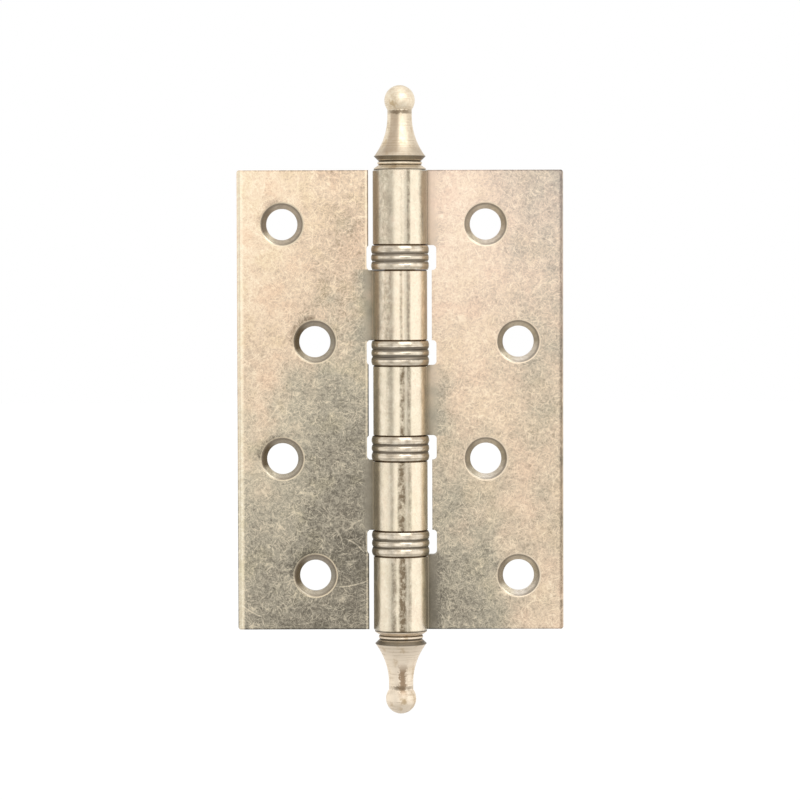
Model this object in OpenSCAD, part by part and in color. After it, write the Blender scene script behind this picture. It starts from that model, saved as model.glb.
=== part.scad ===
// Butt hinge of pressed steel sheet with crown finials and four thrust ball bearings.
// The pin runs along Z, and the origin is on its axis at the leaves' mid height.
// The front, where the barrel stands proud and the screw holes are countersunk, looks along -Y.
// The leaves lie open flat: the frame leaf to +X and the door leaf to -X.

/* [Leaves] */
// Height of both leaves along the pin
leaf_h = 100; // [90:1:150]
// From the pin's axis to a leaf's outer edge
leaf_reach = 35.5; // [33:0.5:60]
// Thickness of the leaf sheet
leaf_t = 2.5; // [2:0.1:3]
// Space between the two leaves' front faces when the hinge is closed
closed_gap = 2.5; // [1.5:0.1:3.5]
// Rounding of a leaf's outer corners, seen from the front
corner_r = 0.6; // [0.3:0.1:3]
// Rounding along a leaf's outer front edge
front_edge_r = 0.9; // [0.2:0.1:1.5]

/* [Knuckles] */
// Outside diameter of the rolled knuckles
knuckle_d = 11.8; // [11:0.1:14]
// Height of the top and bottom knuckles
end_knuckle_h = 16.3; // [12:0.1:20]
// Inside radius of the bend that swings the sheet out to the back of the knuckles
swage_r = 9; // [6:0.5:12]
// Slit between the end of the roll and the leaf that it closes on
seam_gap = 0.15; // [0.05:0.05:0.4]
// Chamfer on the rims of a knuckle
knuckle_chamfer = 0.25; // [0.1:0.05:0.5]
// Space between a leaf's edge and the other leaf's knuckle
edge_gap = 1.0; // [0.6:0.1:2]

/* [Notches beside the bearings] */
// Space between a bearing and the frame leaf
frame_notch_gap = 1.6; // [0.8:0.1:3]
// Space between a bearing and the door leaf
door_notch_gap = 1.0; // [0.8:0.1:3]
// Rounding of a notch's inner corners
notch_r = 0.8; // [0.3:0.1:2]

/* [Screw holes] */
// Diameter of the through holes
screw_hole_d = 6.8; // [4:0.1:8]
// Diameter at which the countersinks' cones would meet the front face
countersink_d = 9.2; // [8.5:0.1:11]
// Full angle of the countersinks
countersink_angle = 90; // [80:5:120]
// Width of the shallow broken edge round each countersink
countersink_lip = 0.25; // [0.1:0.05:0.4]
// Distance along the pin from one screw hole to the next
screw_pitch = 25.5; // [20:0.5:28]
// Distance from the pin's axis to the inner column of holes
inner_column = 18.6; // [14:0.1:20]
// Distance from the pin's axis to the outer column of holes
outer_column = 25.7; // [22:0.1:29]

/* [Pin] */
// Running clearance between pin and knuckles, on the radius
pin_fit = 0.05; // [0.02:0.01:0.1]
// How far each end of the pin stays back from the finial's seat
pin_inset = 0.3; // [0.1:0.1:1]
// Diameter of the stud that holds a finial in the pin
stud_d = 4; // [3:0.1:4.5]
// Length of that stud
stud_l = 8; // [5:0.5:12]
// Clearance round the stud, on the radius, and at its end ten times as much
stud_fit = 0.05; // [0.02:0.01:0.1]

/* [Finials] */
// Overall height of a finial above the knuckle
finial_h = 18.3; // [16:0.1:24]
// Diameter of the base flange
flange_d = 11.3; // [10:0.1:13]
// Height of the base flange, its bevel included
flange_h = 1.1; // [0.8:0.05:1.3]
// Height of the upright rim below that bevel
flange_rim_h = 0.3; // [0.1:0.05:0.5]
// Diameter of the waist between flange and crown
waist_d = 9.0; // [8:0.1:9.6]
// Thickness of the bead round the waist
waist_bead = 0.7; // [0.3:0.05:0.8]
// Diameter of the crown's flared rim
crown_d = 11.2; // [10:0.1:13]
// Height of that rim above the knuckle
crown_z = 2.9; // [2.4:0.1:4]
// Diameter of the neck at its narrowest
neck_d = 5.3; // [4:0.1:6]
// Height at which the crown's curve runs into the neck
neck_z = 11.6; // [9:0.1:12.5]
// Diameter of the ball on top
ball_d = 6.6; // [6.2:0.1:8]

/* [Bearings] */
// Outside diameter of the bearings
bearing_d = 12.6; // [12:0.1:15]
// Space that each bearing fills between two knuckles
bearing_h = 5.4; // [5:0.1:7]
// Clearance between a bearing's parts and the pin, on the radius
bearing_fit = 0.08; // [0.03:0.01:0.1]
// Play between stacked faces in a bearing, and against the knuckles
bearing_play = 0.05; // [0.02:0.01:0.1]
// Thickness of the ball retainer
retainer_h = 1.55; // [1.3:0.05:1.7]
// How far the crowned rims, which show as three ribs, stand out in their middle
rib_depth = 0.3; // [0.1:0.05:0.4]
// Diameter of the bearing balls
bearing_ball_d = 1.9; // [1.8:0.05:2.1]
// Number of balls in each bearing
ball_count = 10; // [6:1:10]
// Clearance round a ball in its pocket and its raceway
ball_fit = 0.05; // [0.02:0.01:0.08]

/* [Hidden] */
$fn = 48;
bearing_numbers = [1, 2, 3, 4];

// What a cutter reaches past the face that it opens
over = 1;
steel_tone = [0.78, 0.72, 0.62];
brass_tone = [0.80, 0.71, 0.56];
ball_tone = [0.75, 0.76, 0.78];

// The sheet's two faces, and the radii that rolling it gives
front_y = closed_gap / 2;
back_y = front_y + leaf_t;
knuckle_r = knuckle_d / 2;
bore_r = knuckle_r - leaf_t;
pin_r = bore_r - pin_fit;

// Centre of the swage's bend, whose circle touches both the back face and the knuckle
swage_y = back_y + swage_r;
swage_x = sqrt(pow(knuckle_r + swage_r, 2) - pow(swage_y, 2));
swage_angle = atan2(swage_y, swage_x);
// Angle, seen from the pin, between that touching point and the roll's end
seam_cos = (pow(knuckle_r + swage_r, 2) + pow(knuckle_r, 2) - pow(swage_r + leaf_t, 2))
    / (2 * (knuckle_r + swage_r) * knuckle_r);
seam_angle = swage_angle - acos(seam_cos) - asin(seam_gap / knuckle_r);

// Knuckles are counted from the top: 0, 2 and 4 belong to the frame leaf, 1 and 3 to the door leaf
frame_knuckles = [0, 2, 4];
door_knuckles = [1, 3];
last_knuckle = 4;
mid_knuckle_h = (leaf_h - 2 * end_knuckle_h - len(bearing_numbers) * bearing_h) / 3;
function knuckle_h(i) = i == 0 || i == last_knuckle ? end_knuckle_h : mid_knuckle_h;
function knuckle_top(i) =
    i == 0 ? leaf_h / 2 : knuckle_top(i - 1) - knuckle_h(i - 1) - bearing_h;
function knuckle_bottom(i) = knuckle_top(i) - knuckle_h(i);
function bearing_z(n) = knuckle_bottom(n - 1) - bearing_h / 2;

// Each leaf's holes from the top down, by their distance from the pin
frame_columns = [inner_column, outer_column, inner_column, outer_column];
door_columns = [outer_column, inner_column, outer_column, inner_column];
countersink_h = (countersink_d - screw_hole_d) / 2 / tan(countersink_angle / 2);
lip_angle = 25;

// Bearing parts, measured from the bearing's middle plane
bearing_r = bearing_d / 2;
bearing_bore_r = pin_r + bearing_fit;
race_face_z = retainer_h / 2 + bearing_play;
race_h = bearing_h / 2 - bearing_play - race_face_z;
ball_r = bearing_ball_d / 2;
ball_circle_r = (bearing_bore_r + bearing_r) / 2;

// Finial radii
flange_r = flange_d / 2;
waist_r = waist_d / 2;
crown_r = crown_d / 2;
neck_r = neck_d / 2;
top_ball_r = ball_d / 2;
top_ball_z = finial_h - top_ball_r;
flange_break = 0.12;
stud_break = 0.4;
// Radius of the crown's hollow curve, upright where it meets the neck
crown_curve_r = (pow(crown_r - neck_r, 2) + pow(neck_z - crown_z, 2)) / (2 * (crown_r - neck_r));

// The flat sheet and its swage in section, up to where the roll begins
module sheet_section() {
    difference() {
        translate([swage_x, front_y]) square([leaf_reach - swage_x, leaf_t]);
        front_edge_cut();
    }
    difference() {
        intersection() {
            translate([swage_x, swage_y]) circle(r = swage_r + leaf_t);
            polygon([[0, 0], [swage_x, 0], [swage_x, swage_y]]);
        }
        translate([swage_x, swage_y]) circle(r = swage_r);
    }
}

// What the rounding takes off the sheet's outer front edge
module front_edge_cut() {
    translate([leaf_reach - front_edge_r, front_y]) difference() {
        translate([0, -over]) square([front_edge_r + over, front_edge_r + over]);
        translate([0, front_edge_r]) circle(r = front_edge_r);
    }
}

// The rolled knuckle in section: a ring that stays open from the seam to the swage
module roll_section() {
    far = knuckle_r + swage_r;
    difference() {
        circle(r = knuckle_r);
        circle(r = bore_r);
        polygon([[0, 0], far * [cos(seam_angle), sin(seam_angle)], [swage_x, swage_y]]);
    }
}

// One knuckle's roll with both rims broken
module roll(i) {
    translate([0, 0, knuckle_bottom(i)]) difference() {
        linear_extrude(height = knuckle_h(i)) roll_section();
        rim_cut();
        translate([0, 0, knuckle_h(i)]) mirror([0, 0, 1]) rim_cut();
    }
}

// The chamfer on a knuckle's lower rim
module rim_cut() {
    rotate_extrude() polygon([
        [knuckle_r - knuckle_chamfer - over, -over],
        [knuckle_r + over, -over],
        [knuckle_r + over, knuckle_chamfer + over]
    ]);
}

// Outline of the room that a leaf leaves for one knuckle of the other leaf and its bearings
module knuckle_room(i) {
    top = i == 0 ? leaf_h / 2 + over : knuckle_top(i) + bearing_h;
    bottom = i == last_knuckle ? -leaf_h / 2 - over : knuckle_bottom(i) - bearing_h;
    translate([0, bottom]) square([knuckle_r + edge_gap, top - bottom]);
}

// Outline of the notch beside one bearing, open towards the pin
module notch(n, gap) {
    depth = bearing_r + gap;
    translate([0, bearing_z(n)]) {
        translate([0, -bearing_h / 2]) square([depth - notch_r, bearing_h]);
        translate([0, -bearing_h / 2 + notch_r]) square([depth, bearing_h - 2 * notch_r]);
        for (side = [-1, 1])
            translate([depth - notch_r, side * (bearing_h / 2 - notch_r)]) circle(r = notch_r);
    }
}

// Cuts an outline, drawn in X and Z, through the whole depth of a leaf
module cut_from_front() {
    rotate([90, 0, 0]) translate([0, 0, -swage_y]) linear_extrude(height = swage_y + over)
        children();
}

// A countersunk screw hole at a distance from the pin and a height
module screw_hole(x, z) {
    slope = tan(countersink_angle / 2);
    lip_r = countersink_d / 2 + countersink_lip;
    lip_h = lip_r * tan(lip_angle);
    translate([x, front_y, z]) rotate([-90, 0, 0]) {
        translate([0, 0, -over]) cylinder(d = screw_hole_d, h = leaf_t + 2 * over);
        translate([0, 0, -over]) cylinder(
            r1 = countersink_d / 2 + over * slope,
            r2 = screw_hole_d / 2,
            h = countersink_h + over
        );
        translate([0, 0, -over]) cylinder(r1 = lip_r * (1 + over / lip_h), r2 = 0, h = lip_h + over);
    }
}

// Outline of what the rounding takes off one outer corner
module corner_cut(side) {
    translate([leaf_reach - corner_r, side * (leaf_h / 2 - corner_r)]) scale([1, side]) difference() {
        square([corner_r + over, corner_r + over]);
        circle(r = corner_r);
    }
}

// A whole leaf to +X: the sheet, cut back beside the pin, and its own rolled knuckles
module leaf(own, others, notch_gap, columns) {
    difference() {
        translate([0, 0, -leaf_h / 2]) linear_extrude(height = leaf_h) sheet_section();
        cut_from_front() {
            for (i = others) knuckle_room(i);
            for (n = bearing_numbers) notch(n, notch_gap);
            for (side = [-1, 1]) corner_cut(side);
        }
        for (row = [0:len(columns) - 1])
            screw_hole(columns[row], (len(columns) - 1 - 2 * row) * screw_pitch / 2);
    }
    for (i = own) roll(i);
}

module frame_leaf() {
    color(steel_tone) leaf(frame_knuckles, door_knuckles, frame_notch_gap, frame_columns);
}

module door_leaf() {
    color(steel_tone) mirror([1, 0, 0])
        leaf(door_knuckles, frame_knuckles, door_notch_gap, door_columns);
}

// The pin, with a blind hole in each end for a finial's stud
module hinge_pin() {
    length = leaf_h - 2 * pin_inset;
    socket = stud_l - pin_inset + 10 * stud_fit;
    color(steel_tone) difference() {
        cylinder(r = pin_r, h = length, center = true);
        for (side = [-1, 1]) translate([0, 0, side * (length / 2 - socket / 2 + over / 2)])
            cylinder(r = stud_d / 2 + stud_fit, h = socket + over, center = true);
    }
}

// Half section of a finial, seated at height 0
module finial_section() {
    polygon([
        [0, 0],
        [flange_r - flange_break, 0],
        [flange_r, flange_break],
        [flange_r, flange_rim_h],
        [waist_r, flange_h],
        [waist_r, crown_z - (crown_r - waist_r)],
        [crown_r, crown_z],
        [0, crown_z]
    ]);
    translate([waist_r, (flange_h + crown_z - (crown_r - waist_r)) / 2]) circle(d = waist_bead);
    difference() {
        translate([0, crown_z]) square([crown_r, neck_z - crown_z]);
        translate([neck_r + crown_curve_r, neck_z]) circle(r = crown_curve_r);
    }
    translate([0, neck_z]) square([neck_r, top_ball_z - neck_z]);
    intersection() {
        translate([0, top_ball_z]) circle(r = top_ball_r);
        translate([0, neck_z]) square([top_ball_r, finial_h - neck_z]);
    }
    polygon([
        [0, over],
        [0, -stud_l],
        [stud_d / 2 - stud_break, -stud_l],
        [stud_d / 2, -stud_l + stud_break],
        [stud_d / 2, over]
    ]);
}

module top_finial() {
    color(brass_tone) translate([0, 0, leaf_h / 2]) rotate_extrude() finial_section();
}

module bottom_finial() {
    color(brass_tone) translate([0, 0, -leaf_h / 2]) rotate([180, 0, 0]) rotate_extrude() finial_section();
}

// Half section of a ring lying on height 0, its rim crowned so that it shows as one rib
module ribbed_ring_section(h) {
    crown_arc_r = (pow(h / 2, 2) + pow(rib_depth, 2)) / (2 * rib_depth);
    translate([bearing_bore_r, 0]) square([bearing_r - rib_depth - bearing_bore_r, h]);
    intersection() {
        translate([ball_circle_r, 0]) square([bearing_r - ball_circle_r, h]);
        translate([bearing_r - crown_arc_r, h / 2]) circle(r = crown_arc_r);
    }
}

// A race lying above the bearing's middle, with the raceway in its lower face
module race() {
    rotate_extrude() difference() {
        translate([0, race_face_z]) ribbed_ring_section(race_h);
        translate([ball_circle_r, 0]) circle(r = ball_r + ball_fit);
    }
}

module upper_race(n) {
    color(brass_tone) translate([0, 0, bearing_z(n)]) race();
}

module lower_race(n) {
    color(brass_tone) translate([0, 0, bearing_z(n)]) mirror([0, 0, 1]) race();
}

// The middle rib, a ring with a pocket for each ball
module ball_retainer(n) {
    color(brass_tone) translate([0, 0, bearing_z(n)]) difference() {
        translate([0, 0, -retainer_h / 2]) rotate_extrude() ribbed_ring_section(retainer_h);
        at_balls() cylinder(r = ball_r + ball_fit, h = retainer_h + 2 * over, center = true);
    }
}

module bearing_balls(n) {
    color(ball_tone) translate([0, 0, bearing_z(n)]) at_balls() sphere(r = ball_r);
}

// Places a child at each ball of a bearing
module at_balls() {
    for (i = [0:ball_count - 1]) rotate([0, 0, i * 360 / ball_count])
        translate([ball_circle_r, 0, 0]) children();
}

frame_leaf();
door_leaf();
hinge_pin();
top_finial();
bottom_finial();
for (n = bearing_numbers) {
    upper_race(n);
    ball_retainer(n);
    bearing_balls(n);
    lower_race(n);
}
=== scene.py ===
"""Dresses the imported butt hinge: its finishes, a pale studio and a camera at the photograph's angle."""

import math

import bpy
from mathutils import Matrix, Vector

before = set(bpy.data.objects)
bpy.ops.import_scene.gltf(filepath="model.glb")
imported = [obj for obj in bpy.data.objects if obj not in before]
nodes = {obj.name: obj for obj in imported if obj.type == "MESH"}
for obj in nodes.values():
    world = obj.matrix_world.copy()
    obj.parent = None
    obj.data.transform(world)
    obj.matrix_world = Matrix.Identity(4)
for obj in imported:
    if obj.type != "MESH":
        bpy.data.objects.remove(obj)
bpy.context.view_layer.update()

DEGREES = 180 / math.pi
FRAME_SIDE, DOOR_SIDE = 1, -1

# Sizes of the hinge that the finishes follow, in millimetres
MM_PER_M = 1000.0
BARREL_R = 5.9
LEAF_FRONT_Y = 1.25
LEAF_BACK_Y = 3.75
LEAF_EDGE_X = 35.5
LEAF_EDGE_Z = 50.0
LEAF_INNER_X = 6.9
SWAGE_X = (8.8, 7.2)
SWAGE_SHADE_X = (12.0, 7.5)
HOLE_PITCH = 25.5
HOLE_INNER = 18.6
HOLE_OUTER = 25.7
COUNTERSINK_R = 4.6
COUNTERSINK_LIP_R = 4.85
COUNTERSINK_DIRT_R = (6.3, 4.9)
BEARING_HALF = 2.6
FINIAL_R = 3.0
FAR = 1000.0
# The sheets' tarnish and painted shade, and the other looks, change from this height down to the same depth below the
# middle
TARNISH_AND_SHADE_TOP_Z = 46.0
LOOKS_TOP_Z = 45.0
# Heights of the bearings' middles above and below the hinge's middle
BEARING_Z = (31.0, 10.33)
# The columns of each leaf's holes, from the top down
FRAME_HOLES = [HOLE_INNER, HOLE_OUTER, HOLE_INNER, HOLE_OUTER]
DOOR_HOLES = [-HOLE_OUTER, -HOLE_INNER, -HOLE_OUTER, -HOLE_INNER]
# Each knuckle's lowest and highest point, and its streaks of painted dark reflection: degrees round from the front,
# half width, strength
FRAME_KNUCKLES = [
    (33.7, 50.0, [(-30, 22.0, 0.36), (3, 4.0, 0.15), (18.5, 5.6, 0.6)]),
    (-7.63, 7.63, [(-23, 12.0, 0.27), (4.0, 8.0, 0.85), (18.5, 6.5, 0.52)]),
    (-50.0, -33.7, [(-14, 9.0, 0.55), (4, 11.5, 1.1), (20, 6.0, 0.38)]),
]
DOOR_KNUCKLES = [
    (13.03, 28.3, [(-28, 19.0, 0.4), (2, 4.5, 0.5), (18, 6.0, 0.5)]),
    (-28.3, -13.03, [(-19, 5.5, 0.22), (2.0, 11.5, 1.05), (20, 6.0, 0.38)]),
]

# Layers of short hair scratches: cell, length, width, bend, seed
SHORT_SCRATCHES = [
    (1.5, 2.6, 0.085, 0.32, 1),
    (1.1, 1.8, 0.07, 0.36, 2),
    (2.3, 4.0, 0.1, 0.34, 3),
    (0.8, 1.2, 0.062, 0.4, 4),
]
# Layers of wandering hair lines: scale, width, seed
HAIR_LINES = [(0.2, 0.02, 5), (0.11, 0.011, 6), (0.33, 0.03, 7)]
# Long pale scratches on the door leaf's front: from, to, and how far the middle bows
LONG_SCRATCHES = [
    ((-13.9, -40.7), (-7.3, -39.4), 0.35),
    ((-34.7, -44.6), (-30.2, -47.2), 0.3),
    ((-12.2, -30.2), (-7.9, -33.4), -0.5),
]
LONG_SCRATCH_WIDTH = 0.26
LONG_SCRATCH_FADE = 0.12
# How far each seed moves a layer of scratches or of hair lines, across and up
SCRATCH_SEED_SHIFT = (17.3, 9.1)
HAIR_SEED_SHIFT = (31.7, 12.9)


def srgb(r, g, b):
    """A colour given as 0 to 255 screen values, as Blender's linear one."""
    return tuple((c / 255 / 12.92) if c <= 10 else ((c / 255 + 0.055) / 1.055) ** 2.4 for c in (r, g, b)) + (1.0,)


def grey(level):
    """A linear grey."""
    return (level, level, level, 1.0)


PLATING_METALLIC = 0.92
STEEL_METALLIC = 1.0
# How deep the bump of each finish goes, in metres
PLATING_BUMP_M = 0.00004
DRAWN_STEEL_BUMP_M = 0.00003
BALL_STEEL_BUMP_M = 0.00002
# The plating's colour by tarnish, from rubbed bright, below 0, to black: brown where thin, grey where thick
TARNISH = [
    (-0.3, srgb(254, 242, 216), srgb(248, 238, 216)),
    (0.0, srgb(247, 229, 201), srgb(234, 222, 194)),
    (0.25, srgb(237, 213, 184), srgb(222, 208, 182)),
    (0.5, srgb(213, 191, 167), srgb(200, 189, 166)),
    (0.75, srgb(180, 159, 135), srgb(168, 160, 143)),
    (1.0, srgb(144, 125, 104), srgb(131, 124, 110)),
    (1.4, srgb(92, 78, 64), srgb(80, 75, 65)),
]
TARNISH_LOW, TARNISH_HIGH = TARNISH[0][0], TARNISH[-1][0]

# What differs between the leaves' platings:
# swage tarnish and shade: tarnish and painted shade added on the swages beside the leaf's own knuckles, at the top and
# at the bottom
# greyed: how much thicker the barrel's tarnish counts; brown_end, grey_start: where thin turns into thick
# warm_top: how much thinner the tarnish counts at the top; rosy, olive: tints of its patches
# lit_from: degrees from which the barrel turns away into its painted shade; cut: the countersinks' colours at their
# right, left, top and lower right, painted in light and shade
LEAF_LOOKS = {
    FRAME_SIDE: {
        "swage": (0.17, 0.17),
        "greyed": 0.5,
        "brown_end": 0.33,
        "grey_start": 0.74,
        "warm_top": 0.0,
        "rosy": srgb(247, 216, 214),
        "olive": srgb(238, 236, 218),
        "lit_from": 2.5,
        "cut": (srgb(200, 190, 170), srgb(164, 152, 132), srgb(216, 204, 184), srgb(246, 238, 226)),
        "lip": srgb(252, 236, 212),
    },
    DOOR_SIDE: {
        "swage": (0.25, -0.25),
        "greyed": 0.4,
        "brown_end": 0.32,
        "grey_start": 0.64,
        "warm_top": 0.16,
        "rosy": srgb(246, 208, 190),
        "olive": srgb(236, 234, 200),
        "lit_from": 7.5,
        "cut": (srgb(178, 171, 156), srgb(118, 104, 82), srgb(194, 184, 170), srgb(206, 196, 178)),
        "lip": srgb(236, 222, 196),
    },
}
FRAME_LEAF_COOL = srgb(236, 218, 236)
BARREL_PALE = srgb(246, 240, 224)
BARREL_REFLECTION_STREAK = srgb(131, 115, 93)
BARREL_SIDE_SHADE = (srgb(162, 154, 138), srgb(138, 131, 116))
CUT_UPPER_TINT = srgb(230, 216, 200)
CUT_RIM = srgb(132, 118, 102)
CUT_HIGHLIGHT = srgb(252, 242, 218)
CUT_GRAIN = srgb(150, 140, 124)

# Bands round the upright axis: degrees from and to, and how soft their edges are; all but the soiled one are painted
# shade
BARREL_SHADE_BAND = (60, 104, 20)
RING_SHADE_BAND = (70, 98, 32)
FINIAL_SHADE_LEFT = (-40, -12, 16)
FINIAL_SHADE_RIGHT = (42, 66, 14)
FINIAL_SOILED = (-2, 16, 14)

# Each bearing's number, where its dark grooves start and end by height from its middle, and their colour, dirt and
# painted shade:
# the second bearing's are the darkest, and the lower two have narrower grooves
RING_GROOVES = [
    (1, 0.33, 1.38, srgb(136, 126, 112)),
    (2, 0.28, 1.45, srgb(96, 88, 80)),
    (3, 0.45, 1.15, srgb(106, 96, 84)),
    (4, 0.45, 1.15, srgb(110, 101, 84)),
]
RING_PALE = (srgb(226, 210, 186), srgb(255, 243, 222))
RING_LINES = srgb(150, 138, 118)
RING_DIP = srgb(150, 138, 120)
RING_GROOVE_WORN = srgb(160, 148, 132)
RING_SIDE_SHADE = srgb(122, 115, 99)
RING_JOINT = srgb(96, 72, 42)

# The finials' heights, from and to, in millimetres above the leaves' top edge, and the same below their bottom edge
FINIAL_FLANGE_UNDER = (0.3, 0.12)
FINIAL_WAIST = (1.1, 3.05)
FINIAL_BEAD = (2.25, 2.95)
FINIAL_FLARE = (3.15, 4.2)
FINIAL_NECK = (4.0, 12.0)
FINIAL_NECK_END = (9.5, 12.4)
FINIAL_COLLAR = (12.3, 12.65)
# Where the balls' brown stains lie: across, and that height
UPPER_BALL_STAIN = (-1.6, 14.2)
LOWER_BALL_STAIN = (0.6, 15.4)
FINIAL_PALE = (srgb(240, 223, 196), srgb(253, 240, 216))
FINIAL_LOWER = srgb(255, 239, 217)
FINIAL_LINES = srgb(184, 164, 136)
FINIAL_RINGS = srgb(176, 158, 130)
FINIAL_STAIN = srgb(198, 170, 126)
FINIAL_SHADE_AND_SOIL = srgb(170, 146, 120)
FINIAL_FLARE_SHADE = srgb(170, 152, 130)
FINIAL_BALL_STAIN = srgb(190, 160, 112)
FINIAL_DIRT_AND_SHADE = srgb(112, 104, 90)
FINIAL_COLLAR_SHADOW = srgb(128, 110, 88)

DRAWN_STEEL = (srgb(150, 148, 142), srgb(196, 194, 186))
BALL_STEEL = (srgb(222, 223, 226), srgb(198, 200, 205))

# The studio, by direction round the hinge: degrees from the camera's side, positive to its right, and a level
STUDIO_ROUND = [
    (-180, 1.0), (-122, 1.0), (-104, 1.0), (-90, 1.0), (-60, 1.0), (-48, 0.75), (-36, 0.62),
    (-20, 1.12), (12, 1.12), (24, 0.68), (36, 0.68), (46, 1.17), (84, 1.17), (100, 1.0), (180, 1.0),
]
# By height it darkens above and below the middle, and lightens again overhead
STUDIO_UP = [(-90, 0.62), (-40, 0.7), (-16, 0.92), (-6, 1.0), (12, 1.0), (28, 0.88), (50, 0.82), (75, 1.2), (90, 1.3)]
# A ramp holds colours up to 1, so the studio's levels are divided by this
STUDIO_TOP_LEVEL = 2.0
# Above and below these heights, in degrees, the panels fade into an even level
STUDIO_PANEL_END = (14, 45)
STUDIO_FILL = 0.8

FLOOR_Z = -0.12
FLOOR_SIZE = 6.0
FLOOR_GREY = 0.8
FLOOR_GLOW = 1.16
FLOOR_GLOW_SHARE = 0.75

SOFTBOX_PLACE = (0.21, -0.5, 0.42)
SOFTBOX_AIM = (0, 0, 0.02)
SOFTBOX_SIZE = 0.55
SOFTBOX_POWER = 1.3

CAMERA_PLACE = (0.0, -0.749, 0.0292)
CAMERA_DOWN_DEGREES = 2.226
CAMERA_ROLL = 0.0027
CAMERA_SENSOR = 36.0
CAMERA_LENS = 155.25
CAMERA_CLIP = (0.01, 20.0)

# The colour sockets of Blender's Mix node, which has a set for each kind of value
MIX_FACTOR, MIX_A, MIX_B, MIX_RESULT = 0, 6, 7, 2


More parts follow.
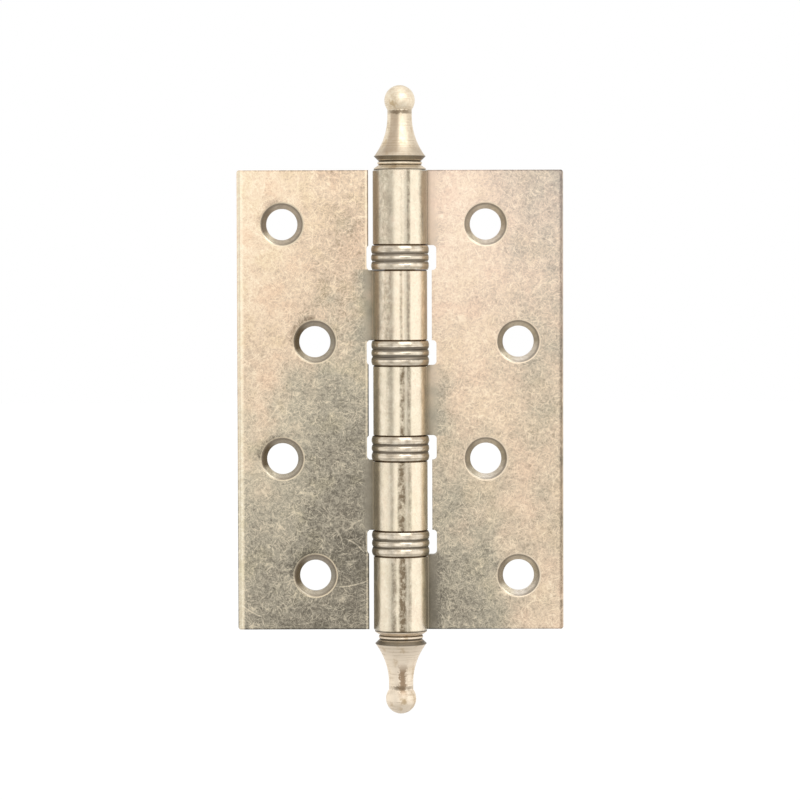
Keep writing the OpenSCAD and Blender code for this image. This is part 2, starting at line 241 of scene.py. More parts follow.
class Graph:
    """Short calls for building a node tree; every input is a number, a tuple or another node's output."""

    def __init__(self, tree):
        self.tree = tree
        tree.nodes.clear()

    def add(self, kind, inputs=None, **settings):
        node = self.tree.nodes.new(kind)
        for key, value in settings.items():
            setattr(node, key, value)
        for key, value in (inputs or {}).items():
            if isinstance(value, bpy.types.NodeSocket):
                self.tree.links.new(value, node.inputs[key])
            else:
                node.inputs[key].default_value = value
        return node

    def math(self, operation, a, b=0.0, c=0.0, clamp=False):
        return self.add("ShaderNodeMath", {0: a, 1: b, 2: c}, operation=operation, use_clamp=clamp).outputs[0]

    def times(self, first, *others):
        for other in others:
            first = self.math("MULTIPLY", first, other)
        return first

    def plus(self, first, *others):
        for other in others:
            first = self.math("ADD", first, other)
        return first

    def minus(self, a, b):
        return self.math("SUBTRACT", a, b)

    def scaled(self, value, factor, start):
        """The value times the factor, added to start."""
        return self.math("MULTIPLY_ADD", value, factor, start)

    def most(self, a, b):
        return self.math("MAXIMUM", a, b)

    def least(self, a, b):
        return self.math("MINIMUM", a, b)

    def absolute(self, value):
        return self.math("ABSOLUTE", value)

    def inverse(self, mask):
        return self.minus(1.0, mask)

    def blend(self, mask, a, b):
        """The number a where the mask is 0, b where it is 1."""
        return self.plus(a, self.times(mask, self.minus(b, a)))

    def square_sum(self, a, b):
        return self.plus(self.times(a, a), self.times(b, b))

    def hypot(self, a, b):
        return self.math("SQRT", self.square_sum(a, b))

    def angle_from_front(self, x, y):
        """The angle round the upright axis, in radians, 0 in front and positive to the right."""
        return self.math("ARCTAN2", x, self.times(y, -1.0))

    def vector(self, operation, a, b=(0.0, 0.0, 0.0), scale=None):
        inputs = {0: a, 1: b} if scale is None else {0: a, "Scale": scale}
        return self.add("ShaderNodeVectorMath", inputs, operation=operation).outputs[0]

    def combine(self, x, y, z):
        return self.add("ShaderNodeCombineXYZ", {0: x, 1: y, 2: z}).outputs[0]

    def split(self, vector):
        node = self.add("ShaderNodeSeparateXYZ", {0: vector})
        return node.outputs[0], node.outputs[1], node.outputs[2]

    def map_range(self, value, start, end, low, high, **settings):
        inputs = {"Value": value, "From Min": start, "From Max": end, "To Min": low, "To Max": high}
        return self.add("ShaderNodeMapRange", inputs, **settings).outputs["Result"]

    def step(self, value, start, end, low=0.0, high=1.0):
        """Eases from low to high while value goes from start to end."""
        return self.map_range(value, start, end, low, high, interpolation_type="SMOOTHSTEP")

    def line(self, value, start, end, low=0.0, high=1.0):
        """Goes straight from low to high while value goes from start to end."""
        return self.map_range(value, start, end, low, high)

    def share(self, mask, low, high):
        """The number low where the mask is 0, high where it is 1."""
        return self.line(mask, 0.0, 1.0, low, high)

    def centred(self, value, gain):
        """A noise value as a swing of gain about zero."""
        return self.times(self.minus(value, 0.5), gain)

    def between(self, value, start, end, soft, most=1.0):
        """The given most while value lies from start to end, with soft edges down to 0 outside them."""
        return self.times(self.step(value, start - soft, start, 0.0, most), self.step(value, end + soft, end))

    def noise(self, vector, scale, detail=2.0, roughness=0.5, size=3):
        inputs = {"Vector": vector, "Scale": scale, "Detail": detail, "Roughness": roughness, "Distortion": 0.0}
        return self.add("ShaderNodeTexNoise", inputs, noise_dimensions=f"{size}D").outputs["Fac"]

    def ramp(self, factor, stops, ease="LINEAR"):
        """A colour that runs through stops, each a place from 0 to 1 and a colour."""
        node = self.add("ShaderNodeValToRGB", {"Fac": factor})
        node.color_ramp.interpolation = ease
        elements = node.color_ramp.elements
        while len(elements) < len(stops):
            elements.new(0.5)
        for element, (place, colour) in zip(elements, stops):
            element.position = place
            element.color = colour
        return node.outputs["Color"]

    def mix(self, factor, a, b, blend="MIX"):
        """The colour a where the factor is 0, b where it is 1."""
        inputs = {MIX_FACTOR: factor, MIX_A: a, MIX_B: b}
        node = self.add("ShaderNodeMix", inputs, data_type="RGBA", blend_type=blend, clamp_factor=True)
        return node.outputs[MIX_RESULT]

    def scratches(self, flat, cell, length, width, bend, seed):
        """One hair scratch in each cell of the flat coordinates, a little bent, at its own angle: 1 on it, else 0."""
        moved = self.vector("ADD", flat, (seed * SCRATCH_SEED_SHIFT[0], seed * SCRATCH_SEED_SHIFT[1], 0.0))
        place = self.vector("SCALE", moved, scale=1.0 / cell)
        inputs = {"Vector": place, "Scale": 1.0, "Randomness": 1.0}
        cells = self.add("ShaderNodeTexVoronoi", inputs, voronoi_dimensions="2D", feature="F1")
        x, y, _ = self.split(self.vector("SUBTRACT", place, cells.outputs["Position"]))
        random = self.add("ShaderNodeSeparateColor", {0: cells.outputs["Color"]})
        angle = self.times(random.outputs[0], 2 * math.pi)
        cos, sin = self.math("COSINE", angle), self.math("SINE", angle)
        along = self.plus(self.times(x, cos), self.times(y, sin))
        across = self.minus(self.times(y, cos), self.times(x, sin))
        curve = self.centred(random.outputs[1], 2 * bend)
        bowed = self.scaled(self.times(along, along), curve, across)
        thin = self.step(self.absolute(bowed), 0.0, width / cell, 1.0, 0.0)
        reach = self.scaled(random.outputs[2], 0.5 * length / cell, 0.25 * length / cell)
        ends = self.step(self.math("DIVIDE", self.absolute(along), reach), 0.5, 1.0, 1.0, 0.0)
        return self.times(thin, ends)

    def stroke(self, x, z, start, end, bow, width):
        """One long hair scratch from start to end, its middle bowed to one side: 1 on it, else 0."""
        run_x, run_z = end[0] - start[0], end[1] - start[1]
        length = math.hypot(run_x, run_z)
        from_x, from_z = self.minus(x, start[0]), self.minus(z, start[1])
        along = self.scaled(from_x, run_x / length**2, self.times(from_z, run_z / length**2))
        across = self.scaled(from_x, run_z / length, self.times(from_z, -run_x / length))
        arch = self.times(along, self.inverse(along), 4 * bow)
        thin = self.step(self.absolute(self.minus(across, arch)), 0.0, width, 1.0, 0.0)
        shown = self.between(along, LONG_SCRATCH_FADE, 1 - LONG_SCRATCH_FADE, LONG_SCRATCH_FADE)
        return self.times(thin, shown)

    def hairs(self, flat, scale, width, seed):
        """Long hair lines that wander over the surface and break off: 1 on a line, else 0."""
        moved = self.vector("ADD", flat, (seed * HAIR_SEED_SHIFT[0], seed * HAIR_SEED_SHIFT[1], 0.0))
        level = self.absolute(self.minus(self.noise(moved, scale, 1.0, 0.4, size=2), 0.5))
        line = self.step(level, 0.0, width, 1.0, 0.0)
        shown = self.step(self.noise(moved, scale * 1.7, 2.0, 0.5, size=2), 0.52, 0.6)
        return self.times(line, shown)


def new_material(name):
    material = bpy.data.materials.new(name)
    material.use_nodes = True
    return material, Graph(material.node_tree)


def finish_metal(g, colour, roughness, height, bump, metallic=PLATING_METALLIC, bump_distance=PLATING_BUMP_M):
    """Ends a metal's tree: a Principled shader with bump from the given height."""
    relief = g.add("ShaderNodeBump", {"Strength": bump, "Distance": bump_distance, "Height": height})
    inputs = {
        "Base Color": colour,
        "Roughness": roughness,
        "Metallic": metallic,
        "Normal": relief.outputs[0],
    }
    shader = g.add("ShaderNodeBsdfPrincipled", inputs)
    g.add("ShaderNodeOutputMaterial", {0: shader.outputs[0]})


def millimetres(g):
    """The object's own coordinates in millimetres."""
    return g.vector("SCALE", g.add("ShaderNodeTexCoord").outputs["Object"], scale=MM_PER_M)


def tarnish_colour(g, level, thickness, look):
    """The plating's colour at a level of tarnish."""
    span = TARNISH_HIGH - TARNISH_LOW
    place = g.line(level, TARNISH_LOW, TARNISH_HIGH)
    thin = g.ramp(place, [((stop - TARNISH_LOW) / span, brown) for stop, brown, _ in TARNISH])
    thick = g.ramp(place, [((stop - TARNISH_LOW) / span, dim) for stop, _, dim in TARNISH])
    return g.mix(g.step(thickness, look["brown_end"], look["grey_start"]), thin, thick)


def sheet_tarnish_and_shade(g, x, z, side):
    """Broad tarnish and painted shade on a flat sheet: darker towards the bottom, and on the door leaf towards the
    barrel too.
    """
    down = g.line(z, TARNISH_AND_SHADE_TOP_Z, -TARNISH_AND_SHADE_TOP_Z)
    if side == DOOR_SIDE:
        inner = g.line(x, -31.0, -15.0, 0.16, 0.45)
        return g.least(g.scaled(g.math("POWER", down, 1.25), 0.66, inner), 0.96)
    inner = g.scaled(g.math("POWER", down, 1.3), 0.66, 0.2)
    outer = g.scaled(down, -0.12, 0.56)
    level = g.blend(g.step(x, 11.0, 30.0), inner, outer)
    # Painted light: the middle of the frame leaf's sheet is a little brighter
    away_x, away_z = g.math("DIVIDE", g.minus(x, 20.0), 9.0), g.math("DIVIDE", z, 22.0)
    return g.minus(level, g.step(g.square_sum(away_x, away_z), 1.0, 0.0, 0.0, 0.09))


class LeafPlaces:
    """What the steps of a leaf's finish share: its coordinates, the masks of its parts, and its patterns."""

    def __init__(self, g, knuckles):
        self.place = millimetres(g)
        self.x, self.y, self.z = g.split(self.place)
        self.down = g.line(self.z, LOOKS_TOP_Z, -LOOKS_TOP_Z)
        turn = g.angle_from_front(self.x, self.y)
        self.degrees = g.times(turn, DEGREES)
        barrel = g.step(g.hypot(self.x, self.y), BARREL_R + 0.05, BARREL_R + 0.45, 1.0, 0.0)
        self.barrel = g.times(barrel, g.step(self.y, LEAF_BACK_Y - 0.05, LEAF_BACK_Y - 0.25))
        self.sheet = g.inverse(self.barrel)
        self.sheet_front = g.times(self.sheet, g.step(self.y, LEAF_BACK_Y - 0.55, LEAF_BACK_Y - 1.35))
        self.facing = g.step(self.y, LEAF_FRONT_Y + 0.45, LEAF_FRONT_Y + 0.15)
        # Flat coordinates: across and up on the sheet, round and up on the barrel
        self.across = g.blend(self.barrel, self.x, g.times(turn, BARREL_R))
        edge_shift = g.times(self.sheet, self.y)
        self.flat = g.combine(g.plus(self.across, edge_shift), g.scaled(edge_shift, 0.7, self.z), self.y)
        # The same, bent a little, for the finer patterns
        wander = g.add("ShaderNodeTexNoise", {"Vector": self.flat, "Scale": 0.6}).outputs["Color"]
        self.bent = g.vector("ADD", self.flat, g.vector("SCALE", wander, scale=1.2))
        self.patch = g.noise(self.place, 0.17, 3.0, 0.6)
        self.grain = g.noise(self.bent, 1.15, 3.0, 0.72)
        self.rubbed = g.noise(g.combine(self.across, g.times(self.z, 0.4), 3.0), 0.9, 3.0, 0.6)
        self.specks = g.noise(g.combine(self.across, g.times(self.z, 0.85), 7.0), 1.5, 3.0, 0.75)
        self.marks, self.own, self.joint = knuckle_marks(g, self, knuckles)
        # The swage beside the leaf's own knuckles is smooth, and the barrel a little smoother than the sheet
        beside = g.times(g.step(g.absolute(self.x), *SWAGE_X), self.sheet_front, self.own)
        self.calm = g.times(g.share(beside, 1.0, 0.15), g.share(self.barrel, 1.0, 0.8))


def knuckle_marks(g, at, knuckles):
    """The masks of the painted dark reflection streaks on a leaf's own knuckles, of the knuckles' heights, and of the
    joints at their ends.
    """
    drift = g.centred(g.noise(g.combine(0.0, 0.0, g.times(at.z, 0.12)), 1.0, 2.0, 0.5), 4.0)
    drifted = g.plus(at.degrees, drift)
    marks, own, nearest_end = 0.0, 0.0, FAR
    for low, high, streaks in knuckles:
        inside = g.between(at.z, low, high, 0.3)
        own = g.most(own, inside)
        for end in (low, high):
            nearest_end = g.least(nearest_end, g.absolute(g.minus(at.z, end)))
        for middle, half, strength in streaks:
            off = g.absolute(g.minus(drifted, middle))
            marks = g.scaled(g.step(off, 0.2 * half, half, strength, 0.0), inside, marks)
    # The painted reflection streaks break into specks
    broken = g.times(g.step(at.rubbed, 0.3, 0.56, 0.4, 1.0), g.step(at.specks, 0.34, 0.64, 0.5, 1.35))
    joint = g.times(g.step(nearest_end, 0.05, 0.02), at.barrel)
    return g.times(marks, broken), own, joint


def broad_tarnish_and_shade(g, at, side):
    """Cloudy tarnish and painted shade on the sheet, hardly any on the barrel apart from its painted streaks, and
    tarnish and painted shade on the swages.
    """
    cloud = g.noise(at.place, 0.055, 3.0, 0.6)
    tarnish_and_shade = g.plus(g.centred(cloud, 0.38), g.centred(at.patch, 0.42), sheet_tarnish_and_shade(g, at.x, at.z, side))
    barrel_tarnish_and_reflections = g.scaled(at.marks, 0.35, g.plus(g.centred(at.rubbed, 0.4), 0.02))
    tarnish_and_shade = g.blend(at.barrel, tarnish_and_shade, barrel_tarnish_and_reflections)
    # Tarnish and painted shade on the swages beside the leaf's own knuckles
    swage = g.times(at.own, at.sheet_front, g.step(g.absolute(at.x), *SWAGE_SHADE_X))
    return g.scaled(swage, g.share(at.down, *LEAF_LOOKS[side]["swage"]), tarnish_and_shade)


def scratch_felt(g, at):
    """The felt of hair scratches: 1 on a scratch, else 0, and weaker in places."""
    layers = [g.scratches(at.bent, *layer) for layer in SHORT_SCRATCHES]
    layers += [g.hairs(at.flat, *layer) for layer in HAIR_LINES]
    felt = layers[0]
    for layer in layers[1:]:
        felt = g.most(felt, layer)
    return g.times(g.step(g.noise(at.flat, 0.5, 2.0, 0.5), 0.3, 0.62, 0.35, 1.0), at.calm, felt)


def edge_wear_light_and_shade(g, at, side, tarnish_and_shade):
    """What wear, painted shade and painted highlights add to the tarnish of a leaf's front, along its edges and in its
    long scratches.
    """
    edge = g.minus(LEAF_EDGE_X, g.absolute(at.x))
    if side == DOOR_SIDE:
        # The outer edge is paler, with a grey line
        paler_edge = g.times(g.step(edge, 1.7, 1.0), g.scaled(tarnish_and_shade, -0.78, -0.14))
        worn = g.scaled(g.step(edge, 0.3, 0.1), 0.5, paler_edge)
    else:
        # Painted shade: a dark band along the rounded outer edge, broken by the grain
        worn = g.times(g.step(edge, 1.1, 0.4), g.step(at.grain, 0.35, 0.6, 0.28, 0.55))
    # Painted shade: the top and bottom edges are dark
    tips = g.minus(LEAF_EDGE_Z, g.absolute(at.z))
    worn = g.scaled(g.step(tips, 0.35, 0.12), 0.4, worn)
    if side == DOOR_SIDE:
        # The inner edges, beside the other leaf's knuckles, have a painted highlight line and a painted shade line at
        # the very edge
        inward = g.minus(g.absolute(at.x), LEAF_INNER_X)
        edge_glint = g.times(g.between(inward, 0.3, 0.6, 0.15), -0.35)
        edge_shade_line = g.times(g.step(inward, 0.25, 0.12), g.step(at.grain, 0.3, 0.6, 0.5, 0.8))
        worn = g.plus(worn, g.times(g.plus(edge_glint, edge_shade_line), g.inverse(at.own)))
        for start, end, bow in LONG_SCRATCHES:
            worn = g.scaled(g.stroke(at.x, at.z, start, end, bow, LONG_SCRATCH_WIDTH), -0.5, worn)
    return worn


def countersinks(g, at, hole_columns):
    """The distance from the nearest hole's axis, the angle round it, and the dirt outside its upper left."""
    nearest, angle, dirt = FAR, 0.0, 0.0
    for row, column in enumerate(hole_columns):
        away_x = g.minus(at.x, column)
        away_z = g.minus(at.z, (1.5 - row) * HOLE_PITCH)
        away = g.hypot(away_x, away_z)
        upper_left = g.math("DIVIDE", g.minus(away_z, away_x), away)
        nearest = g.least(nearest, away)
        dirt = g.most(dirt, g.times(g.step(away, *COUNTERSINK_DIRT_R), g.step(upper_left, 0.7, 1.3)))
        inside = g.step(away, COUNTERSINK_R + 1.0, COUNTERSINK_R + 0.9)
        angle = g.plus(angle, g.times(inside, g.math("ARCTAN2", away_z, away_x)))
    return nearest, angle, dirt


def barrel_tone(g, at, look, tone):
    """The barrel is paler, its streaks of painted dark reflection are brown, and its sides are painted in a dull grey
    shade down to the swages.
    """
    tone = g.mix(g.times(at.barrel, 0.22), tone, BARREL_PALE)
    tone = g.mix(g.math("MULTIPLY", at.marks, at.barrel, clamp=True), tone, BARREL_REFLECTION_STREAK)
    # Painted shade: the sides turned away from where the barrel is lit are dull grey
    turned_away = g.absolute(g.minus(at.degrees, look["lit_from"]))
    turned_away = g.plus(turned_away, g.share(at.down, 2.0, -6.0))
    turned_away = g.plus(g.centred(at.rubbed, 16.0), g.centred(at.specks, 14.0), turned_away)
    shaded_sides = g.times(g.between(turned_away, *BARREL_SHADE_BAND), at.barrel)
    dull = g.mix(g.step(at.specks, 0.3, 0.7), *BARREL_SIDE_SHADE)
    return g.mix(g.times(shaded_sides, g.share(at.down, 0.85, 0.65)), tone, dull)


def cut_tone(g, at, look, nearest, upright, sideways):
    """A countersink's cut face: greyer than the plating, painted darker at the left and paler at the lower right as
    light falls on its sides, brown along its rim, mottled all over.
    """
    right, left, top, lower_right = look["cut"]
    # Its four sides, painted in light and shade, run into each other, and are warmer near the leaf's top
    cut = g.mix(g.step(sideways, -0.1, -0.8), right, left)
    cut = g.mix(g.times(g.step(upright, 0.3, 0.9), g.step(sideways, -0.95, -0.2)), cut, top)
    to_lower_right = g.scaled(sideways, 0.45, g.times(upright, -1.0))
    cut = g.mix(g.step(to_lower_right, 0.3, 1.0), cut, lower_right)
    cut = g.mix(g.step(at.down, 0.35, 0.1, 0.0, 0.3), cut, CUT_UPPER_TINT)
    rim = g.step(nearest, COUNTERSINK_R - 0.6, COUNTERSINK_R - 0.1)
    cut = g.mix(g.times(rim, 0.75), cut, CUT_RIM)
    # A painted highlight on the lower left, in patches
    lower_left_highlight = g.times(g.step(upright, -0.3, -0.7), g.step(sideways, -0.1, -0.6))
    cut = g.mix(g.times(lower_left_highlight, g.step(at.patch, 0.42, 0.55, 0.5, 0.95)), cut, CUT_HIGHLIGHT)
    return g.mix(g.step(at.grain, 0.35, 0.65, 0.0, 0.3), cut, CUT_GRAIN)


def plated_leaf(name, side, hole_columns, knuckles):
    """Pale warm plating on a leaf, dulled by tarnish, mottled and felted with hair scratches."""
    material, g = new_material(name)
    look = LEAF_LOOKS[side]
    at = LeafPlaces(g, knuckles)
    tarnish_and_shade = broad_tarnish_and_shade(g, at, side)

    # Fine mottling, stronger where the plating is tarnished
    blotch = g.noise(at.bent, 0.42, 3.0, 0.65)
    pits = g.noise(at.bent, 2.5, 2.0, 0.6)
    mottle = g.plus(g.centred(blotch, 0.65), g.centred(pits, 1.2), g.centred(at.grain, 1.45))
    depth = g.times(g.line(tarnish_and_shade, 0.1, 0.8, 0.75, 0.86), at.calm)
    local = g.scaled(g.times(mottle, depth), -0.7, tarnish_and_shade)

    # Hair scratches cut through the tarnish to paler metal
    scratch = scratch_felt(g, at)
    local = g.minus(local, g.times(g.line(tarnish_and_shade, 0.0, 0.9, 0.62, 0.94), 0.46, scratch))
    worn = edge_wear_light_and_shade(g, at, side, tarnish_and_shade)
    local = g.scaled(worn, g.times(at.facing, at.sheet), local)

    # Dirt lies outside the upper left of the door leaf's countersinks, and fills the joints at the knuckles' ends
    nearest, angle, dirt = countersinks(g, at, hole_columns)
    if side == DOOR_SIDE:
        dirt = g.times(dirt, at.facing, g.step(at.patch, 0.3, 0.5))
        local = g.scaled(dirt, 0.34, local)
    local = g.scaled(at.joint, 1.2, local)

    # The tarnish turns from brown to grey as it thickens, and has rosy and olive patches
    thickness = g.scaled(at.barrel, look["greyed"], tarnish_and_shade)
    thickness = g.minus(thickness, g.step(at.down, 0.58, 0.15, 0.0, look["warm_top"]))
    tone = tarnish_colour(g, local, thickness, look)
    tint = g.noise(at.place, 0.13, 3.0, 0.6)
    rosy = g.times(g.step(tint, 0.5, 0.66, 0.0, 0.16), g.line(tarnish_and_shade, 0.3, 0.7, 1.0, 0.2))
    tone = g.mix(rosy, tone, look["rosy"], "MULTIPLY")
    tone = g.mix(g.step(tint, 0.5, 0.34, 0.0, 0.16), tone, look["olive"], "MULTIPLY")
    if side == FRAME_SIDE:
        tone = g.mix(g.times(at.sheet, g.step(at.down, 0.6, 0.0, 0.0, 0.1)), tone, FRAME_LEAF_COOL)
    tone = barrel_tone(g, at, look, tone)

    # The countersinks' cut faces, and the broken edge round them with a painted highlight strongest at its right
    upright, sideways = g.math("SINE", angle), g.math("COSINE", angle)
    front = g.step(at.y, LEAF_BACK_Y - 0.85, LEAF_BACK_Y - 0.65, 1.0, 0.0)
    cone = g.times(g.step(nearest, COUNTERSINK_R - 0.03, COUNTERSINK_R + 0.03, 1.0, 0.0), front)
    tone = g.mix(cone, tone, cut_tone(g, at, look, nearest, upright, sideways))
    lip = g.times(g.step(nearest, COUNTERSINK_LIP_R + 0.08, COUNTERSINK_LIP_R - 0.02), front, g.inverse(cone))
    tone = g.mix(g.times(lip, g.line(sideways, -0.7, 0.5, 0.5, 0.95)), tone, look["lip"])

    rough = g.step(local, 0.0, 1.1, 0.32, 0.5)
    for mask, change in ((at.barrel, -0.1), (at.joint, 0.3), (lip, 0.2)):
        rough = g.scaled(mask, change, rough)
    height = g.scaled(scratch, -0.4, g.scaled(g.times(mottle, at.calm), 0.45, 0.5))
    finish_metal(g, tone, rough, height, 0.3)
    return material


def turned_ring(name, groove_start, groove_end, groove_dirt_and_shade):
    """Pale brass plating on a bearing's ribs, with dirt and painted shade in the grooves between them, and dirt at its
    joints.
    """
    material, g = new_material(name)
    place = millimetres(g)
    x, y, z = g.split(place)
    radians = g.angle_from_front(x, y)
    turn = g.times(radians, BARREL_R)
    lines = g.noise(g.combine(g.times(turn, 0.07), g.times(z, 3.6), 0.0), 1.0, 3.0, 0.6)
    blotch = g.noise(place, 0.8, 4.0, 0.65)
    wave = g.noise(g.combine(g.times(turn, 0.22), g.times(z, 0.05), 4.0), 1.0, 2.0, 0.5)
    # Height above or below the middle of the nearest bearing, and the same with ragged edges
    far, near = (g.absolute(g.minus(g.absolute(z), middle)) for middle in BEARING_Z)
    height = g.least(far, near)
    ragged = g.plus(g.centred(wave, 0.5), g.centred(blotch, 0.3), height)
    # Dirt and painted shade in the grooves between the ribs
    groove = g.between(ragged, groove_start + 0.12, groove_end - 0.15, 0.22)
    dip = g.times(g.between(ragged, 2.0, 2.15, 0.2), 0.28)
    joint = g.step(height, BEARING_HALF - 0.13, BEARING_HALF)
    tone = g.mix(g.step(blotch, 0.32, 0.68), *RING_PALE)
    tone = g.mix(g.times(g.step(lines, 0.54, 0.36), 0.6), tone, RING_LINES)
    tone = g.mix(dip, tone, RING_DIP)
    dirt = g.mix(g.step(lines, 0.35, 0.65), groove_dirt_and_shade, RING_GROOVE_WORN)
    tone = g.mix(g.times(groove, 0.9), tone, dirt)
    # Painted shade: the sides are dull grey, like the barrel's
    degrees = g.absolute(g.times(radians, DEGREES))
    degrees = g.plus(g.centred(blotch, 30.0), g.centred(lines, 24.0), degrees)
    tone = g.mix(g.times(g.between(degrees, *RING_SHADE_BAND), 0.8), tone, RING_SIDE_SHADE)
    tone = g.mix(g.times(joint, 0.9), tone, RING_JOINT)
    rough = g.step(g.most(groove, joint), 0.0, 1.0, 0.18, 0.5)
    relief = g.scaled(lines, 0.6, g.times(blotch, 0.4))
    finish_metal(g, tone, rough, relief, 0.3)
    return material


def turned_finial():
    """Pale brass plating on the finials, with turning lines and stains, painted shade on the neck's sides and the
    flares, dirt and painted shade in the recesses, and a painted shadow under the ball.
    """
    material, g = new_material("plated_finial")
    place = millimetres(g)
    x, y, z = g.split(place)
    above = g.minus(g.absolute(z), LEAF_EDGE_Z)
    radians = g.angle_from_front(x, y)
    degrees = g.times(radians, DEGREES)
    turn = g.times(radians, FINIAL_R)
    upper = g.step(z, -1.0, 1.0)
    lower = g.inverse(upper)
    lines = g.noise(g.combine(g.times(turn, 0.09), g.times(z, 2.6), 0.0), 1.0, 3.0, 0.75)
    rings = g.noise(g.combine(0.0, 0.0, g.times(z, 1.5)), 1.0, 2.0, 0.6)
    stain = g.noise(g.combine(x, y, g.times(z, 0.7)), 0.5, 4.0, 0.6)
    speck = g.noise(place, 1.8, 3.0, 0.65)
    worn = g.noise(g.combine(turn, z, 9.0), 0.5, 2.0, 0.5)

    # Turning lines that fade in places, broader rings and brown stains, on a ground that is paler below
    tone = g.mix(g.step(speck, 0.3, 0.7), *FINIAL_PALE)
    tone = g.mix(g.times(lower, 0.85), tone, FINIAL_LOWER)
    tone = g.mix(g.times(g.step(lines, 0.52, 0.34), g.step(worn, 0.34, 0.6), 0.5), tone, FINIAL_LINES)
    tone = g.mix(g.times(g.step(rings, 0.5, 0.36), 0.14), tone, FINIAL_RINGS)
    tone = g.mix(g.times(g.step(stain, 0.52, 0.7), 0.5), tone, FINIAL_STAIN)

    # Painted shade on the upper neck at its left and right and on both flares at the rim; the lower neck is soiled
    # near its ball
    left = g.times(g.between(degrees, *FINIAL_SHADE_LEFT), g.between(above, *FINIAL_NECK, 1.0))
    right = g.times(g.between(degrees, *FINIAL_SHADE_RIGHT), g.between(above, *FINIAL_NECK, 1.0, 0.4))
    dull = g.most(left, right)
    ragged = g.plus(degrees, g.centred(speck, 50.0))
    soiled = g.times(g.between(ragged, *FINIAL_SOILED), g.between(above, *FINIAL_NECK_END, 3.0))
    dull = g.plus(g.times(dull, upper), g.times(soiled, g.times(lower, 1.7)))
    tone = g.mix(g.times(dull, 0.62), tone, FINIAL_SHADE_AND_SOIL)
    flare = g.between(above, *FINIAL_FLARE, 1.6)
    tone = g.mix(g.times(flare, g.share(upper, 0.1, 0.42)), tone, FINIAL_FLARE_SHADE)

    # A brown stain low on the left of the upper ball, and at the middle of the lower one
    off_x = g.minus(x, g.share(upper, LOWER_BALL_STAIN[0], UPPER_BALL_STAIN[0]))
    off_z = g.minus(above, g.share(upper, LOWER_BALL_STAIN[1], UPPER_BALL_STAIN[1]))
    off = g.plus(g.hypot(off_x, off_z), g.centred(speck, 2.0))
    spot = g.times(g.step(off, 1.1, 0.2), g.step(y, 0.5, -0.5))
    tone = g.mix(g.times(spot, 0.6), tone, FINIAL_BALL_STAIN)

    # Dirt and painted shade in the waist, round the bead and under the flange, and a painted shadow where the ball
    # meets the neck
    under = g.times(g.between(above, *FINIAL_WAIST, 0.12), g.step(g.hypot(x, y), 4.85, 4.72))
    under = g.most(under, g.between(above, *FINIAL_BEAD, 0.15))
    under = g.most(under, g.step(above, *FINIAL_FLANGE_UNDER))
    tone = g.mix(g.times(under, 0.85), tone, FINIAL_DIRT_AND_SHADE)
    # Painted shadow under the ball, broken into spots
    collar = g.between(g.plus(above, g.centred(speck, 1.3)), *FINIAL_COLLAR, 0.4)
    collar = g.times(collar, g.step(worn, 0.35, 0.6, 0.45, 0.85))
    collar = g.times(collar, g.step(g.absolute(degrees), 75, 25, 0.4, 1.0))
    tone = g.mix(collar, tone, FINIAL_COLLAR_SHADOW)
    rough = g.step(lines, 0.3, 0.7, 0.5, 0.42)
    finish_metal(g, tone, rough, g.scaled(lines, 0.8, g.times(speck, 0.3)), 0.35)
    return material


def drawn_steel():
    """Grey drawn steel of the pin, with fine lines along its length."""
    material, g = new_material("drawn_steel")
    x, y, z = g.split(millimetres(g))
    lines = g.noise(g.combine(g.times(x, 4.0), g.times(y, 4.0), g.times(z, 0.1)), 1.0, 3.0)
    tone = g.mix(g.step(lines, 0.35, 0.65), *DRAWN_STEEL)
    rough = g.step(lines, 0.3, 0.7, 0.42, 0.28)
    finish_metal(g, tone, rough, lines, 0.25, STEEL_METALLIC, DRAWN_STEEL_BUMP_M)
    return material


def bearing_steel():
    """Bright polished steel of the bearing balls, with the faintest wear tracks."""
    material, g = new_material("bearing_steel")
    track = g.noise(millimetres(g), 3.0, 2.0)
    tone = g.mix(g.step(track, 0.4, 0.7), *BALL_STEEL)
    rough = g.step(track, 0.4, 0.7, 0.08, 0.16)
    finish_metal(g, tone, rough, track, 0.05, STEEL_METALLIC, BALL_STEEL_BUMP_M)
    return material


def dress(names, material):
    for name in names:
        mesh = nodes[name].data
        mesh.materials.clear()
        mesh.materials.append(material)


def studio_stops(levels, low, high):
    """Ramp stops for levels that are given by angle."""
    return [((angle - low) / (high - low), grey(level / STUDIO_TOP_LEVEL)) for angle, level in levels]


def studio():
    """A white surround for the camera, an even grey one for diffuse light, and panels for what metal reflects."""
    world = bpy.data.worlds.new("studio")
    bpy.context.scene.world = world
    world.use_nodes = True
    g = Graph(world.node_tree)
    x, y, z = g.split(g.add("ShaderNodeTexCoord").outputs["Generated"])
    turn = g.scaled(g.angle_from_front(x, y), 0.5 / math.pi, 0.5)
    height = g.math("ARCSINE", z)
    panel_end, fade_end = (math.radians(angle) for angle in STUDIO_PANEL_END)
    steep = g.step(g.absolute(height), panel_end, fade_end)
    around = g.ramp(turn, studio_stops(STUDIO_ROUND, -180, 180), "EASE")
    level = g.mix(steep, around, grey(1.0 / STUDIO_TOP_LEVEL))
    up = g.ramp(g.scaled(height, 1 / math.pi, 0.5), studio_stops(STUDIO_UP, -90, 90), "EASE")
    panels = g.mix(1.0, g.mix(1.0, level, up, "MULTIPLY"), grey(STUDIO_TOP_LEVEL**2), "MULTIPLY")
    light_path = g.add("ShaderNodeLightPath")
    seen = g.mix(light_path.outputs["Is Glossy Ray"], grey(STUDIO_FILL), panels)
    white = g.most(light_path.outputs["Is Camera Ray"], light_path.outputs["Is Transmission Ray"])
    seen = g.mix(white, seen, grey(1.0))
    background = g.add("ShaderNodeBackground", {"Color": seen, "Strength": 1.0})
    g.add("ShaderNodeOutputWorld", {0: background.outputs[0]})


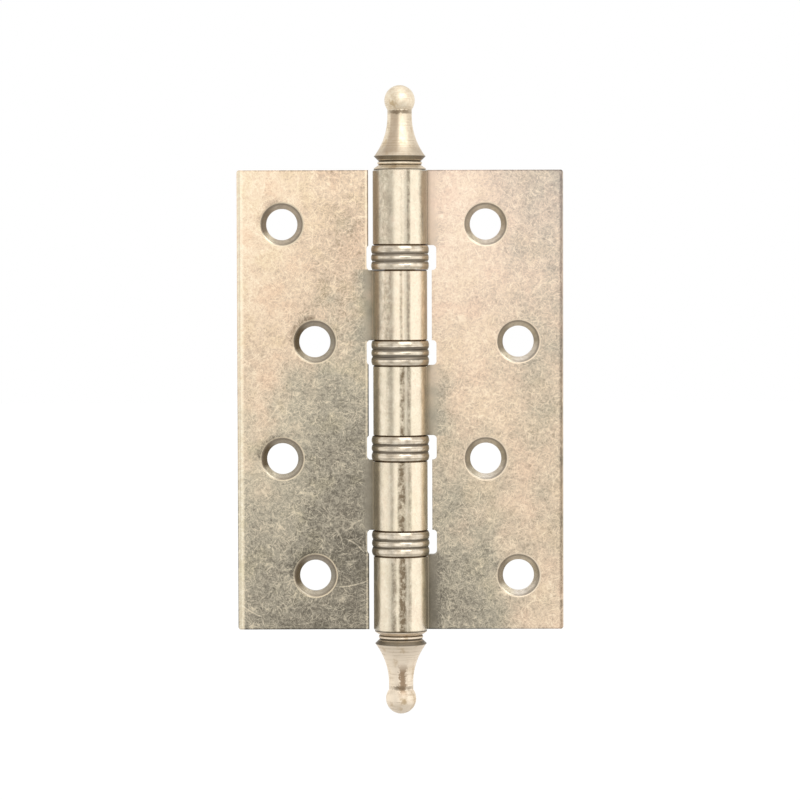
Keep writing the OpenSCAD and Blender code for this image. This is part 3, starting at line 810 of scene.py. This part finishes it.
def floor():
    """A pale floor far below the hinge, which glows for the camera alone."""
    bpy.ops.mesh.primitive_plane_add(size=FLOOR_SIZE, location=(0, 0, FLOOR_Z))
    plane = bpy.context.object
    plane.name = "pale_floor"
    material, g = new_material("pale_floor")
    light_path = g.add("ShaderNodeLightPath")
    matt = g.add("ShaderNodeBsdfDiffuse", {"Color": grey(FLOOR_GREY)}).outputs[0]
    glow = g.add("ShaderNodeEmission", {"Color": grey(1.0), "Strength": FLOOR_GLOW}).outputs[0]
    shown = g.add("ShaderNodeMixShader", {0: FLOOR_GLOW_SHARE, 1: matt, 2: glow}).outputs[0]
    is_camera_ray = light_path.outputs["Is Camera Ray"]
    chosen = g.add("ShaderNodeMixShader", {0: is_camera_ray, 1: matt, 2: shown}).outputs[0]
    g.add("ShaderNodeOutputMaterial", {0: chosen})
    plane.data.materials.append(material)
    # Metal sees the studio's own lower half instead, which carries the same panels
    plane.visible_glossy = False


def softbox():
    """One square lamp, above the hinge on the camera's side and a little to the right."""
    light = bpy.data.lights.new("upper_softbox", "AREA")
    light.shape = "RECTANGLE"
    light.size, light.size_y = SOFTBOX_SIZE, SOFTBOX_SIZE
    light.energy = SOFTBOX_POWER
    holder = bpy.data.objects.new("upper_softbox", light)
    bpy.context.scene.collection.objects.link(holder)
    holder.location = SOFTBOX_PLACE
    holder.rotation_mode = "QUATERNION"
    holder.rotation_quaternion = (Vector(SOFTBOX_AIM) - Vector(SOFTBOX_PLACE)).to_track_quat("-Z", "Y")
    holder.visible_camera = False


def camera():
    """The photograph's view: from the front, slightly from above."""
    data = bpy.data.cameras.new("camera")
    data.sensor_width = CAMERA_SENSOR
    data.lens = CAMERA_LENS
    data.clip_start, data.clip_end = CAMERA_CLIP
    holder = bpy.data.objects.new("camera", data)
    bpy.context.scene.collection.objects.link(holder)
    holder.location = CAMERA_PLACE
    holder.rotation_euler = (math.radians(90 - CAMERA_DOWN_DEGREES), CAMERA_ROLL, 0.0)
    bpy.context.scene.camera = holder


dress(["frame_leaf"], plated_leaf("plated_frame_leaf", FRAME_SIDE, FRAME_HOLES, FRAME_KNUCKLES))
dress(["door_leaf"], plated_leaf("plated_door_leaf", DOOR_SIDE, DOOR_HOLES, DOOR_KNUCKLES))
dress(["top_finial", "bottom_finial"], turned_finial())
for number, start, end, colour in RING_GROOVES:
    pieces = [f"upper_race_{number}", f"ball_retainer_{number}", f"lower_race_{number}"]
    dress(pieces, turned_ring(f"plated_bearing_{number}", start, end, colour))
dress(["hinge_pin"], drawn_steel())
dress([name for name in nodes if name.startswith("bearing_balls")], bearing_steel())

studio()
floor()
softbox()
camera()
bpy.context.scene.view_settings.view_transform = "Standard"
